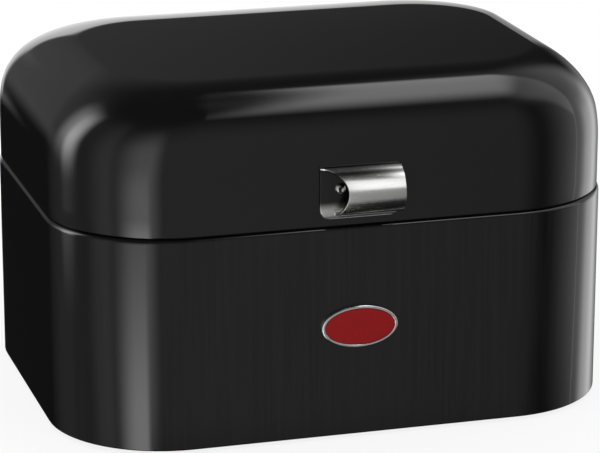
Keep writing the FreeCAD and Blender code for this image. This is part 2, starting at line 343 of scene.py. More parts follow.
def noise(tree, place, scale, stretch=(1, 1, 1), detail=3.0):
    """Noise over Object coordinates. `stretch` is how many times finer it is along each axis."""
    place = make_node(tree, "Mapping", {"Vector": place, "Scale": stretch}).outputs["Vector"]
    return make_node(tree, "TexNoise", {"Vector": place, "Scale": scale, "Detail": detail}).outputs["Fac"]


def mapped(tree, value, start, end, low, high, easing):
    """Value taken from the range start..end to the range low..high, straight or eased."""
    values = {"Value": value, "From Min": start, "From Max": end, "To Min": low, "To Max": high}
    return make_node(tree, "MapRange", values, interpolation_type=easing).outputs["Result"]


def spread(tree, value, low, high):
    """Noise, most of which lies between 0.3 and 0.7, taken to the range low..high."""
    return mapped(tree, value, 0.3, 0.7, low, high, "LINEAR")


def eased(tree, value, start, end, low=0.0, high=1.0):
    """Value eased from `low` to `high` as it goes from `start` to `end`."""
    return mapped(tree, value, start, end, low, high, "SMOOTHSTEP")


def combine(tree, operation, first, second=0.0):
    """Sum, quotient or other combination of two values, either of which may be a plain number."""
    return make_node(tree, "Math", {0: first, 1: second}, operation=operation).outputs["Value"]


def times(tree, first, second):
    """Product of two values."""
    return combine(tree, "MULTIPLY", first, second)


def axes(tree, coordinates):
    """X, Y and Z of Texture Coordinate's Object or Generated coordinates."""
    place = make_node(tree, "TexCoord").outputs[coordinates]
    return list(make_node(tree, "SeparateXYZ", {"Vector": place}).outputs)


MIX_FIRST, MIX_SECOND = 6, 7        # places of the two colours among a Mix node's inputs


def tint(tree, value, dark, light):
    """Colour between `dark` and `light` as `value` goes from 0 to 1. Either may be a link."""
    first, second = (rgb if isinstance(rgb, bpy.types.NodeSocket) else (*rgb, 1) for rgb in (dark, light))
    node = make_node(tree, "Mix", {"Factor": value, MIX_FIRST: first, MIX_SECOND: second}, data_type="RGBA")
    return next(output for output in node.outputs if output.type == "RGBA")


def bump(tree, value, depth, below=None):
    """Bump of `value`, `depth` metres deep, laid over another bump."""
    values = {"Distance": depth, "Height": value}
    if below is not None:
        values["Normal"] = below
    return make_node(tree, "Bump", values).outputs["Normal"]


def shade(rgb, factor):
    """Colour made lighter or darker."""
    return tuple(min(1.0, c * factor) for c in rgb)


# ---------------------------------------------------------------- finishes
# In every finish, a pattern's scale is in repeats a metre and a bump's depth in metres.
LENGTHWAYS = (0.02, 1.0, 1.0)       # pattern drawn out along X, as brushing leaves it
UPRIGHT = (1.0, 1.0, 0.02)          # pattern drawn out along Z
UNEVEN = 0.15                       # how far a roughness varies about its middle


def uneven(tree, value, roughness):
    """Roughness that varies a little about its middle with a pattern."""
    return spread(tree, value, roughness * (1 - UNEVEN), roughness * (1 + UNEVEN))


def toned(tree, value, rgb, dark, light):
    """Colour that goes from `dark` to `light` times its own brightness with a pattern."""
    return tint(tree, value, shade(rgb, dark), shade(rgb, light))


def connect(tree, shader, tone, roughness, normal=None):
    """Leads a finish's colour, roughness and bump into its shader."""
    for socket, link in (("Base Color", tone), ("Roughness", roughness), ("Normal", normal)):
        if link is not None:
            tree.links.new(link, shader.inputs[socket])


def enamel_material(name, rgb, roughness, streaks):
    """Gloss stove enamel: a fine skin of orange peel over faint rolling lines in the sheet."""
    material, tree, shader, place = new_material(name)
    peel = noise(tree, place, 900.0, detail=2.0)
    wave = noise(tree, place, 60.0, detail=1.0)
    normal = bump(tree, wave, 0.004 * MM)
    normal = bump(tree, peel, 0.0006 * MM, normal)
    if streaks:
        line = noise(tree, place, 620.0, UPRIGHT, detail=2.0)
        normal = bump(tree, line, 0.0012 * MM, normal)
        tone = toned(tree, spread(tree, line, 0.0, 1.0), rgb, 0.6, 1.5)
    else:
        tone = toned(tree, noise(tree, place, 14.0), rgb, 0.8, 1.2)
    connect(tree, shader, tone, uneven(tree, peel, roughness), normal)
    return material


def brushed_material(name, rgb, roughness, below=None, painted_shade=None):
    """Brushed steel: fine scratches along X, over slight clouding.

    `below` makes a bump that they lie over, and the last argument, where it is given, paints shade into the
    colour in places.
    """
    material, tree, shader, place = new_material(name)
    fine = noise(tree, place, 5200.0, LENGTHWAYS, detail=2.0)
    coarse = noise(tree, place, 1100.0, LENGTHWAYS, detail=3.0)
    cloud = noise(tree, place, 60.0)
    tone = toned(tree, coarse, rgb, 0.93, 1.05)
    # Painted shade: an optional function darkens the colour where shade and dark reflections would fall.
    if painted_shade:
        tone = painted_shade(tree, tone)
    lowest = below(tree) if below else None
    normal = bump(tree, fine, 0.0006 * MM, bump(tree, cloud, 0.003 * MM, lowest))
    connect(tree, shader, tone, uneven(tree, fine, roughness), normal)
    shader.inputs["Metallic"].default_value = 1.0
    return material


def handle_lean(tree):
    """Bump that rises evenly along X, so that the sheen on the curl leans to one side."""
    x = axes(tree, "Object")[0]
    return bump(tree, x, bpy.context.scene.bin_handle.lean)


def handle_painted_shade(tree, tone):
    """Steel's colour with painted shade in the hollow that the curl closes in, and a painted dark
    reflection line under the top.

    The painted shade covers what lies nearer to the curl's middle than its inner face, and fades out
    within the strip's thickness. The painted line lies one to two fold radii below the top.
    """
    s = bpy.context.scene.bin_handle
    top = node_box("handle")[1]
    _, y, z = axes(tree, "Object")
    centre = curl_centre()
    drop = combine(tree, "SUBTRACT", float(top[2]), z)
    out = combine(tree, "SUBTRACT", combine(tree, "SUBTRACT", float(top[1]), y), float(centre[0]))
    down = combine(tree, "SUBTRACT", drop, float(centre[1]))
    away = combine(tree, "SQRT", combine(tree, "ADD", times(tree, out, out), times(tree, down, down)))
    # Painted shade in the hollow behind the curl. It fades out near the curl's inner face and with the drop
    # below the top.
    inner = eased(tree, away, s.curl - 0.8 * s.sheet, s.curl - 0.2 * s.sheet, 1.0, 0.0)
    above = eased(tree, drop, s.hollow, s.hollow + s.hollow_fade, 1.0, 0.0)
    # Painted dark reflection line: a band of darkening one to two fold radii below the top, at most
    # `strong` deep.
    faint, strong = 0.15, 0.85
    line = times(tree, eased(tree, drop, 0.6 * s.bend, 1.2 * s.bend, faint, strong),
                 eased(tree, drop, 1.4 * s.bend, 2.4 * s.bend, 1.0, 0.0))
    painted_shade = combine(tree, "MAXIMUM", times(tree, inner, above), line)
    # The painted shade and the painted line take the steel's colour down to hollow_shade of itself.
    return tint(tree, painted_shade, tone, shade(bpy.context.scene.bin_finish.handle, s.hollow_shade))


def polished_material(name, rgb):
    """Plated metal with a faint haze of wiping marks."""
    material, tree, shader, place = new_material(name)
    haze = noise(tree, place, 220.0, detail=4.0)
    connect(tree, shader, toned(tree, haze, rgb, 0.93, 1.05), spread(tree, haze, 0.09, 0.2))
    shader.inputs["Metallic"].default_value = 1.0
    return material


def badge_material(name, rgb):
    """Vitreous enamel: deep colour with fine mottling under a clear gloss."""
    material, tree, shader, place = new_material(name)
    mottle = noise(tree, place, 700.0, detail=4.0)
    wave = noise(tree, place, 160.0, detail=1.0)
    connect(tree, shader, toned(tree, mottle, rgb, 0.8, 1.25), spread(tree, mottle, 0.1, 0.18),
            bump(tree, wave, 0.01 * MM))
    shader.inputs["Specular IOR Level"].default_value = 0.3
    return material


def rubber_material(name, rgb):
    """Moulded rubber with a fine matt grain and a little dust."""
    material, tree, shader, place = new_material(name)
    grain = noise(tree, place, 1800.0, detail=3.0)
    dust = noise(tree, place, 120.0, detail=4.0)
    connect(tree, shader, toned(tree, dust, rgb, 1.0, 2.2), spread(tree, grain, 0.6, 0.85),
            bump(tree, grain, 0.02 * MM))
    return material


def finishes():
    """Every finish by name, made once."""
    look = bpy.context.scene.bin_finish
    makers = {
        "bin enamel": lambda n: enamel_material(n, look.enamel, look.enamel_roughness, True),
        "lid enamel": lambda n: enamel_material(n, look.enamel, look.enamel_roughness, False),
        # The handle's steel carries painted shade behind the curl and a painted dark reflection line under
        # its top.
        "handle steel": lambda n: brushed_material(n, look.handle, look.handle_roughness, handle_lean,
                                                   handle_painted_shade),
        "hinge steel": lambda n: brushed_material(n, look.hinge, look.hinge_roughness),
        "screw steel": lambda n: polished_material(n, look.handle),
        "badge metal": lambda n: polished_material(n, look.chrome),
        "badge enamel": lambda n: badge_material(n, look.badge),
        "foot rubber": lambda n: rubber_material(n, look.rubber),
    }
    return {name: bpy.data.materials.get(name) or make(name) for name, make in makers.items()}


# ---------------------------------------------------------------- sheet pieces
def roll(radius, inset, height):
    """Quarter circle from a piece's upright face up to its level top, as (inset, height)."""
    return arc((inset + radius, height - radius), radius, 180, 90, 8)


def bin_section(profile):
    """A profile of (inset, height) points carried round the bin's plan, as a stack of rings.

    At every height the plan is the wall's rounded rectangle drawn in by the inset.
    """
    low, high = node_box("bin_wall")
    inset, height = np.asarray(profile).T
    corner = bpy.context.scene.bin_sheet.bin_corner - inset
    x, y = plan_rings(high[0] - inset, low[1] + inset, high[1] - inset, corner)
    return stacked(x, y, height)


def ring_mesh(name, points):
    """Closed ring-shaped skin: a stack of rings whose last one meets its first."""
    rows, columns = points.shape[:2]
    return new_mesh(name, points, grid_faces(rows + 1, columns) % (rows * columns))


def cut_holes(mesh, cutters):
    """The mesh with round holes cut through it, by one exact boolean."""
    target = bpy.data.objects.new("target", mesh)
    tool = bpy.data.objects.new("tool", join_meshes("tool", cutters))
    for piece in (target, tool):
        bpy.context.scene.collection.objects.link(piece)
    modifier = target.modifiers.new("holes", "BOOLEAN")
    modifier.operation = "DIFFERENCE"
    modifier.solver = "EXACT"
    modifier.object = tool
    bpy.context.view_layer.update()
    result = bpy.data.meshes.new_from_object(target.evaluated_get(bpy.context.evaluated_depsgraph_get()))
    for piece in (target, tool):
        bpy.data.objects.remove(piece, do_unlink=True)
    if len(result.polygons) <= len(mesh.polygons):
        raise RuntimeError("the holes were not cut")
    return result


def wall_mesh():
    """Wall: hem return, bottom edge, upright, rolled rim and its inner lip, then back down inside.

    The vents are a row of holes through its back.
    """
    s = bpy.context.scene.bin_sheet
    low, high = node_box("bin_wall")
    bottom, top, t = low[2], high[2], s.sheet
    hem = arc((s.hem_bevel, bottom + s.hem_bevel), s.hem_bevel, 270, 180, 4)
    rim_out = roll(s.rim_roll, 0.0, top)
    rim_edge = arc((s.rim_width - t / 2, top - t / 2), t / 2, 90, -90, 6)
    rim_in = roll(s.rim_roll - t, t, top - t)[::-1]
    profile = np.concatenate([[(s.hem_width, bottom)], hem, rim_out, rim_edge, rim_in,
                              [(t, bottom + t), (s.hem_width, bottom + t)]])
    mesh = ring_mesh("bin_wall_skin", bin_section(profile))
    z = bottom + s.vent_height
    cutters = []
    for i in range(s.vent_count):
        x = (i - (s.vent_count - 1) / 2) * s.vent_pitch
        rings = turned_rings([(s.vent_radius, 0.0), (s.vent_radius, 4 * t)],
                             (x, high[1] - 2.5 * t, z), (0, 1, 0), 32)
        cutters.append(tube_mesh("vent", rings))
    return cut_holes(mesh, cutters)


def pan_mesh():
    """Base pan: floor, bevelled edge and upturned flange, round a raised panel.

    The panel's corners have half the radius of the bin's.
    """
    s = bpy.context.scene.bin_sheet
    low, high = node_box("base_pan")
    wall_low, wall_high = node_box("bin_wall")
    inset, t, edge = wall_high[0] - high[0], s.sheet, 1.0 * MM
    floor, top = low[2], high[2]
    slope = [(s.panel_inset + s.panel_rise, floor + s.panel_rise), (s.panel_inset, floor)]
    under = np.array(slope + [(inset + edge, floor), (inset, floor + edge), (inset, top)])
    over = np.array([(inset + t, top), (inset + t, floor + t), (s.panel_inset - t / 2, floor + t),
                     (s.panel_inset + s.panel_rise - t / 2, floor + t + s.panel_rise)])
    inward, height = np.concatenate([under, over]).T
    corner = np.where(inward > s.panel_inset / 2, s.bin_corner / 2 + s.panel_inset, s.bin_corner) - inward
    x, y = plan_rings(wall_high[0] - inward, wall_low[1] + inward, wall_high[1] - inward, corner)
    return tube_mesh("base_pan_skin", stacked(x, y, height))


def collar_mesh():
    """Collar: an upright band inside the rim, with a rounded top edge."""
    s = bpy.context.scene.bin_sheet
    low, high = node_box("mouth_collar")
    t, inset = s.sheet, node_box("bin_wall")[1][0] - high[0]
    edge = arc((inset + t / 2, high[2] - t / 2), t / 2, 180, 0, 8)
    profile = np.concatenate([[(inset, low[2])], edge, [(inset + t, low[2])]])
    return ring_mesh("collar_skin", bin_section(profile))


# ---------------------------------------------------------------- lid
def roll_inset(reach, start, fullness, height, top, skin):
    """How far a roll-over has moved in at a height above the lid's bottom edge.

    reach * (1 - (1 - c^f)^(1/f)), where c is the share of the climb done and f the fullness. The
    climb is the height d above the start, and (d + soft)^2 / (4 soft) within soft of the start.
    """
    soft = bpy.context.scene.bin_lid.soft_start
    above = height - start
    climb = np.where(above > soft, above, np.maximum(above + soft, 0.0) ** 2 / (4 * soft))
    climb = np.minimum(climb / (top - start), 1.0)
    return skin + (reach - skin) * (1 - (1 - climb ** fullness) ** (1 / fullness))


def lid_rings(skin):
    """Plan rings of the lid's skin, from its flat top down to where it is upright.

    A ring's share of the ends' climb falls as a sine above their start, so that rings crowd where
    the top turns flat, and evenly below it. The corner's radius grows from the top corner's to the
    lid corner's as a quarter ellipse.
    """
    s = bpy.context.scene.bin_lid
    low, high = node_box("lid_shell")
    top = high[2] - low[2] - skin
    rolled, upright = np.sin(np.linspace(math.pi / 2, 0.0, 57)), np.linspace(-0.04, -0.64, 12)
    share = np.concatenate([rolled, upright])
    height = s.end_start + (top - s.end_start) * share
    corner = s.top_corner + (s.corner - s.top_corner) * np.sqrt(1 - np.clip(share, 0, 1) ** 2) - skin
    end = roll_inset(s.end_reach, s.end_start, s.end_fullness, height, top, skin)
    front = roll_inset(s.front_reach, s.front_start, s.front_fullness, height, top, skin)
    back = roll_inset(s.back_reach, s.back_start, s.back_fullness, height, top, skin)
    x, y = plan_rings(high[0] - end, low[1] + front, high[1] - back, corner)
    return stacked(x, y, low[2] + height)


def lid_mesh():
    """Lid: the outside from its flat top down to a rounded bottom edge, the hem, then the inside."""
    s = bpy.context.scene.bin_lid
    t = bpy.context.scene.bin_sheet.sheet
    low, high = node_box("lid_shell")
    edge = arc((t, t), t, 180, 360, 8)
    fold = 0.2 * MM
    hem_skin = np.concatenate([edge[:, 0], [2 * t, t, t]])
    hem_height = np.concatenate([edge[:, 1], [s.hem_height, s.hem_height, s.hem_height + fold]])
    x, y = plan_rings(high[0] - hem_skin, low[1] + hem_skin, high[1] - hem_skin, s.corner - hem_skin)
    hem = stacked(x, y, low[2] + hem_height)
    return tube_mesh("lid_skin", np.concatenate([lid_rings(0.0), hem, lid_rings(t)[::-1]]))


# ---------------------------------------------------------------- handle
def curl_centre():
    """Middle of the curl in side view, as (distance in front of the lid, drop below the top)."""
    s = bpy.context.scene.bin_handle
    low, high = node_box("handle")
    reach = high[1] - low[1]
    rise = math.sqrt((s.curl - s.bend) ** 2 - (s.bend - reach + s.curl) ** 2)
    return np.array([reach - s.curl, s.bend + rise])


def handle_path():
    """Outer face of the handle in side view, from the plate's bottom edge to the curl's free edge.

    Each point is (distance in front of the lid, drop below the handle's top), with the outward
    direction of the face there. Straight plate, then three arcs that meet without a kink.
    """
    s = bpy.context.scene.bin_handle
    low, high = node_box("handle")
    tall = high[2] - low[2]
    curl = curl_centre()
    fold = np.array([s.bend, s.bend])
    meeting = math.atan2(fold[1] - curl[1], fold[0] - curl[0])
    lip = curl + (s.curl - s.lip) * np.array([math.cos(s.curl_turn), math.sin(s.curl_turn)])
    bends = ((fold, s.bend, -math.pi, meeting, 24), (curl, s.curl, meeting, s.curl_turn, 48),
             (lip, s.lip, s.curl_turn, s.lip_turn, 24))
    round_end = tall - s.corner * (1 - np.cos(np.linspace(0, math.pi / 2, 13)))
    plate = np.concatenate([round_end, np.linspace(tall - s.corner, s.bend, 8, endpoint=False)[1:]])
    points = [np.stack([np.zeros_like(plate), plate], -1)]
    outward = [np.tile([-1.0, 0.0], (len(plate), 1))]
    for centre, radius, start, end, count in bends:
        t = np.linspace(start, end, count + 1)[1 if len(points) > 1 else 0:]
        way = np.stack([np.cos(t), np.sin(t)], -1)
        points.append(centre + radius * way)
        outward.append(way)
    return np.concatenate(points), np.concatenate(outward)


def cutaway(forward, drop):
    """How far in from the handle's left edge the curl is cut back, at each point of its side view.

    A quarter ellipse down to the deepest point, and a circular arc below it. The sheet is cut
    square to its face, so that both faces share the place of the outer one.
    """
    s = bpy.context.scene.bin_handle
    above = np.clip((s.cutaway_drop - drop) / s.cutaway_drop, 0.0, 1.0)
    below = np.clip(drop - s.cutaway_drop, 0.0, s.cutaway_return)
    depth = np.where(drop < s.cutaway_drop, s.cutaway_reach * np.sqrt(1 - above ** 2),
                     s.cutaway_reach - s.cutaway_return + np.sqrt(s.cutaway_return ** 2 - below ** 2))
    return np.where(forward > s.sheet + PLAY, np.maximum(depth, 0.0), 0.0)


def handle_mesh():
    """Handle: a thin rounded rectangle carried along the side view, as wide as the cuts leave it.

    Its points are the outer face's less their depth along the outward direction. The plate's bottom
    corners are quarter circles.
    """
    s = bpy.context.scene.bin_handle
    low, high = node_box("handle")
    tall = high[2] - low[2]
    outer, outward = handle_path()
    turn = np.linspace(0, math.pi / 2, 4)
    out_edge = s.edge * np.stack([1 - np.sin(turn), 1 - np.cos(turn)], -1)
    in_edge = np.stack([out_edge[::-1, 0], s.sheet - out_edge[::-1, 1]], -1)
    side = np.concatenate([out_edge, in_edge])
    loop = np.concatenate([side, side[::-1]])
    at_left = np.arange(len(loop)) < len(side)
    place = outer[:, None] - outward[:, None] * loop[None, :, 1:]
    forward, drop = place[..., 0], place[..., 1]
    low_part = np.clip(s.corner - (tall - drop), 0.0, s.corner)
    corner = s.corner - np.sqrt(s.corner ** 2 - low_part ** 2)
    on_plate = (forward < s.sheet + PLAY) & (drop > s.bend)
    cut = cutaway(outer[:, :1], outer[:, 1:])
    inset = np.where(on_plate, corner, 0.0) + np.where(at_left, cut, 0.0) + loop[:, 0]
    x = np.where(at_left, low[0] + inset, high[0] - inset)
    return tube_mesh("handle_skin", np.stack([x, high[1] - forward, high[2] - drop], -1))


def hexagonal(across, segments):
    """Distance from the axis to a hexagon's side at evenly spaced angles, across / 2 / cos t.

    `t` is the angle from the middle of the nearest side, and `across` is the width over flats.
    """
    t = np.linspace(0, 2 * math.pi, segments, endpoint=False) % (math.pi / 3) - math.pi / 6
    return across / 2 / np.cos(t)


def turned_mesh(name, profile, base, direction, segments=48, hexagon=None):
    """Turned piece with capped ends. `hexagon` lists the rings that take six sides, and their width."""
    rings = turned_rings(profile, base, direction, segments)
    if hexagon:
        rows, across = hexagon
        shape = hexagonal(across, segments)[:, None] / np.asarray(profile)[rows, :1, None]
        axis_points = (np.asarray(base) + np.asarray(profile)[rows, 1:] * np.asarray(direction))[:, None]
        rings[rows] = axis_points + (rings[rows] - axis_points) * shape
    return tube_mesh(name, rings)


def dome(radius, height, steps=10):
    """Shallow dome from its rim to its crown, as (radius, height) points.

    It is a cap of a ball whose radius is (radius^2 + height^2) / (2 height).
    """
    ball = (radius ** 2 + height ** 2) / (2 * height)
    rim, crown = math.asin(min(1.0, radius / ball)), 0.02
    t = np.linspace(rim, crown, steps)
    return np.stack([ball * np.sin(t), height - ball * (1 - np.cos(t))], -1)


def screw_mesh(x):
    """Button-head screw: a shank, and a domed head with a flat crown and a hexagon socket."""
    s = bpy.context.scene.bin_handle
    low, high = node_box("handle")
    shank, reach, under = 1.5 * MM, 8.0 * MM, 0.1 * MM
    dome_height, crown_edge = 1.848 * MM, 1.45 * MM
    mouth, bevel, depth, across = 1.3 * MM, 0.1 * MM, 1.0 * MM, 2.0 * MM
    head = dome(s.screw_head, dome_height, 14)
    head = head[head[:, 0] > crown_edge]
    top = head[-1, 1]
    profile = [(shank, -reach), (shank, 0.0), (s.screw_head - under, 0.0), *head.tolist(),
               (mouth, top), (mouth, top - bevel), (mouth, top - depth)]
    socket = np.array([len(profile) - 2, len(profile) - 1])
    base = (x, high[1] - s.sheet, low[2] + s.screw_height)
    return turned_mesh("screw", profile, base, (0, -1, 0), 48, (socket, across))


def nut_mesh(x):
    """Plain washer and a hexagon nut with its corners eased, against the inside of the lid."""
    s = bpy.context.scene.bin_handle
    low, high = node_box("handle")
    sheet = bpy.context.scene.bin_sheet.sheet
    base = np.array((x, high[1] + sheet, low[2] + s.screw_height))
    bore, rim, thick = 1.6 * MM, 3.5 * MM, 0.5 * MM
    washer = [(bore, 0.0), (rim, 0.0), (rim, thick), (bore, thick)]
    corner, eased_to, across = 3.0 * MM, 2.6 * MM, 5.5 * MM
    nut = [(corner, thick), (corner, 0.7 * MM), (corner, 2.6 * MM), (eased_to, 2.9 * MM)]
    sides = np.array([0, 1, 2])
    return join_meshes("nut", [turned_mesh("washer", washer, base, (0, 1, 0)),
                               turned_mesh("nut", nut, base, (0, 1, 0), 48, (sides, across))])


# ---------------------------------------------------------------- badge
def oval_rings(node, profile, segments=96):
    """Ellipses (a cos t, b sin t) of a node's outline, one for each (inset, height) of a profile."""
    low, high = node_box(node)
    centre, half = (low + high) / 2, (high - low) / 2
    profile = np.asarray(profile)
    t = np.linspace(0, 2 * math.pi, segments, endpoint=False)
    x = centre[0] + (half[0] - profile[:, :1]) * np.cos(t)
    z = centre[2] + (half[2] - profile[:, :1]) * np.sin(t)
    y = np.broadcast_to(high[1] - profile[:, 1:], x.shape)
    return np.stack([x, y, z], -1)


def badge_plate_mesh():
    """Oval plate whose raised rim is rounded outside and steps down to the enamel inside."""
    low, high = node_box("badge_plate")
    thick = high[1] - low[1]
    outer, inner, rim, step = 0.7 * MM, 0.3 * MM, 1.5 * MM, 0.8 * MM
    outside = arc((outer, thick - outer), outer, 180, 90, 6)
    inside = arc((rim - inner, thick - inner), inner, 90, 0, 4)
    profile = np.concatenate([[(0.0, 0.0)], outside, inside, [(rim, thick - step)]])
    return tube_mesh("badge_plate_skin", oval_rings("badge_plate", profile))


def badge_inlay_mesh():
    """Enamel, bevelled at its edge and very slightly crowned.

    With u the way in from the edge, from 0 to 1, it stands rise * (1 - u)^3 below its full height.
    """
    low, high = node_box("badge_inlay")
    deep = high[1] - low[1]
    bevel, rise = 0.2 * MM, 0.25 * MM
    way_in = np.linspace(0.0, 0.97, 12)
    reach = (high[2] - low[2]) / 2 - rise
    crown = np.stack([bevel + way_in * reach, deep - rise * (1 - way_in) ** 3], -1)
    edge = np.array([(0.0, 0.0), (0.0, deep - rise - bevel)])
    return tube_mesh("badge_inlay_skin", oval_rings("badge_inlay", np.concatenate([edge, crown])))


# ---------------------------------------------------------------- feet and rivets
def foot_mesh(node):
    """Rubber pad: rounded edge, slightly hollow underneath."""
    low, high = node_box(node)
    centre, radius, tall = (low + high) / 2, (high[0] - low[0]) / 2, high[2] - low[2]
    soft = 0.9 * MM
    edge = arc((radius - soft, soft), soft, -90, 0, 6)
    hollow = [(radius - 3 * MM, 0.3 * MM), (radius - 2 * MM, 0.05 * MM)]
    profile = np.concatenate([hollow, edge, [(radius, tall)]])
    return turned_mesh(node, profile, (centre[0], centre[1], low[2]), (0, 0, 1))


def rivet_mesh(leaf, upper):
    """Two rivets through a leaf: domed heads outside, flat tails inside the sheet."""
    low, high = node_box(leaf)
    thick, inset, aside = 1.2 * MM, 6.0 * MM, 11.0 * MM
    shank, tail, tail_edge, tail_reach = 1.6 * MM, 2.5 * MM, 0.4 * MM, 0.7 * MM
    head, head_height = 3.1 * MM, 1.5 * MM
    grip = thick + bpy.context.scene.bin_sheet.sheet
    end = arc((tail - tail_edge, -grip - tail_reach), tail_edge, -90, 0, 3)
    stem = [(tail, -grip), (shank, -grip), (shank, 0.0)]
    profile = np.concatenate([end, stem, dome(head, head_height)])
    middle = (low[0] + high[0]) / 2
    z = high[2] - inset if upper else low[2] + inset
    return join_meshes("rivets", [turned_mesh("rivet", profile, (x, low[1] + thick, z), (0, 1, 0), 32)
                                  for x in (middle - aside, middle + aside)])


# ---------------------------------------------------------------- operators
class BIN_OT_wall(Operator):
    """Build the bin's wall, base pan and collar"""
    bl_idname = "bread_bin.wall"
    bl_label = "Bin"

    def execute(self, context):
        look = finishes()
        place_piece("wall", wall_mesh(), "bin", ["bin_wall"], look["bin enamel"])
        place_piece("base", pan_mesh(), "bin", ["base_pan"], look["lid enamel"])
        place_piece("collar", collar_mesh(), "bin", ["mouth_collar"], look["lid enamel"])
        return {"FINISHED"}


class BIN_OT_lid(Operator):
    """Build the pillow-shaped lid"""
    bl_idname = "bread_bin.lid"
    bl_label = "Lid"

    def execute(self, context):
        place_piece("lid", lid_mesh(), "lid", ["lid_shell"], finishes()["lid enamel"])
        return {"FINISHED"}


class BIN_OT_handle(Operator):
    """Build the handle and its screws"""
    bl_idname = "bread_bin.handle"
    bl_label = "Handle"

    def execute(self, context):
        look = finishes()
        place_piece("handle_strip", handle_mesh(), "lid", ["handle"], look["handle steel"])
        half = context.scene.bin_handle.screw_spacing / 2
        screws = join_meshes("screws", [screw_mesh(x) for x in (-half, half)])
        place_piece("handle_screws", screws, "lid", [], look["screw steel"])
        nuts = join_meshes("nuts", [nut_mesh(x) for x in (-half, half)])
        place_piece("handle_nuts", nuts, "lid", [], look["screw steel"])
        return {"FINISHED"}


class BIN_OT_badge(Operator):
    """Build the plain oval badge"""
    bl_idname = "bread_bin.badge"
    bl_label = "Badge"

    def execute(self, context):
        look = finishes()
        place_piece("badge_rim", badge_plate_mesh(), "bin", ["badge_plate"],
                    look["badge metal"])
        place_piece("badge_face", badge_inlay_mesh(), "bin", ["badge_inlay"],
                    look["badge enamel"])
        return {"FINISHED"}


class BIN_OT_hinges(Operator):
    """Finish the hinges and add their rivets"""
    bl_idname = "bread_bin.hinges"
    bl_label = "Hinges"

    def execute(self, context):
        look = finishes()
        for side in ("left", "right"):
            for body in ("bin", "lid"):
                leaf = f"hinge_{body}_leaf_{side}"
                dress_node(leaf, look["hinge steel"])
                rivets = rivet_mesh(leaf, body == "lid")
                place_piece(leaf + "_rivets", rivets, body, [], look["screw steel"])
            dress_node("hinge_pin_" + side, look["screw steel"])
        return {"FINISHED"}


class BIN_OT_feet(Operator):
    """Build the four rubber feet"""
    bl_idname = "bread_bin.feet"
    bl_label = "Feet"

    def execute(self, context):
        for node in sorted(n for n in frame["nodes"] if n.startswith("foot_")):
            place_piece(node + "_pad", foot_mesh(node), "bin", [node],
                        finishes()["foot rubber"])
        return {"FINISHED"}


# ---------------------------------------------------------------- stage
def set_camera():
    """Camera from its place, its turn and its lens."""
    s = bpy.context.scene.bin_stage
    yaw, pitch, tilt = s.camera_yaw, s.camera_pitch, s.camera_roll
    back = np.array([-math.sin(yaw) * math.cos(pitch), -math.cos(yaw) * math.cos(pitch), math.sin(pitch)])
    right = np.cross([0.0, 0.0, 1.0], back)
    right /= np.linalg.norm(right)
    up = np.cross(back, right)
    turned_right = math.cos(tilt) * right + math.sin(tilt) * up
    turned_up = math.cos(tilt) * up - math.sin(tilt) * right
    data = bpy.data.cameras.new("camera")
    data.lens = s.camera_lens
    data.sensor_width = SENSOR
    data.clip_end = 50.0
    camera = bpy.data.objects.new("camera", data)
    pose = np.eye(4)
    pose[:3, 0], pose[:3, 1], pose[:3, 2], pose[:3, 3] = turned_right, turned_up, back, s.camera_place
    camera.matrix_world = pose.T
    bpy.context.scene.collection.objects.link(camera)
    bpy.context.scene.camera = camera


def window(tree, value, low, high, soft_low, soft_high):
    """1 from `low` to `high`, eased to 0 over a width of its own at either side, all in degrees."""
    low, high, soft_low, soft_high = np.radians([low, high, soft_low, soft_high]).tolist()
    return times(tree, eased(tree, value, low - soft_low, low),
                 eased(tree, value, high, high + soft_high, 1.0, 0.0))


# What stands round the object in the studio, as its gloss shows it. Each panel has a brightness,
# whether its bearing is taken from the back or the front (positive to the right), and the range of
# its bearing and of its height in degrees as (from, to, soft edge, soft edge). Where panels overlap
# they add up, and GLOW is added everywhere.
BACK, FRONT = 1, -1
GLOW = 0.01
PANELS = {
    "room by the camera": (0.34, FRONT, (-70, 10, 25, 45), (-28, 0, 12, 60)),
    "strip light": (3.0, FRONT, (-40, -32, 24, 6), (-52, -40, 10, 35)),
    "strip light's head": (1.0, FRONT, (-35, -30, 30, 15), (-25, -5, 15, 50)),
    "window": (2.6, BACK, (-65, -60, 15, 25), (20, 30, 35, 20)),
    "window's lower part": (2.6, BACK, (-65, -62, 15, 10), (5, 10, 25, 40)),
    "left wall": (0.18, BACK, (-110, -65, 12, 45), (-30, 30, 10, 30)),
    "wall behind": (0.18, BACK, (-40, -15, 40, 45), (0, 25, 10, 40)),
    "white backdrop": (1.0, BACK, (-5, 15, 10, 15), (-10, 8, 3, 3)),
    "right panel": (1.1, BACK, (60, 70, 40, 15), (-70, -5, 20, 20)),
    "right wall": (0.9, BACK, (55, 80, 15, 60), (-15, 0, 25, 60)),
    "ceiling on the right": (0.4, BACK, (60, 120, 30, 40), (45, 60, 25, 25)),
    "ceiling": (0.04, BACK, (-200, 200, 1, 1), (60, 90, 70, 1)),
}


def overhead_panel(tree, x, y, z):
    """Light of a flat, level panel overhead on the right, brightest just inside its left edge.

    Its plan is measured in heights of the panel, from straight above the object to the right and to
    the back. It starts at the left, fades from bright to dim to the right, and has a front and a rear.
    """
    left, full, faded, bright, dim = 0.25, 0.31, 0.71, 3.0, 0.6
    front_edge, front, rear, rear_edge = -1.0, -0.3, 0.2, 0.35
    height = combine(tree, "MAXIMUM", z, 0.02)
    across = combine(tree, "DIVIDE", x, height)
    depth = combine(tree, "DIVIDE", y, height)
    panel = times(tree, eased(tree, across, left, full), eased(tree, across, full, faded, bright, dim))
    sides = times(tree, eased(tree, depth, front_edge, front),
                  eased(tree, depth, rear, rear_edge, 1.0, 0.0))
    return times(tree, panel, sides)


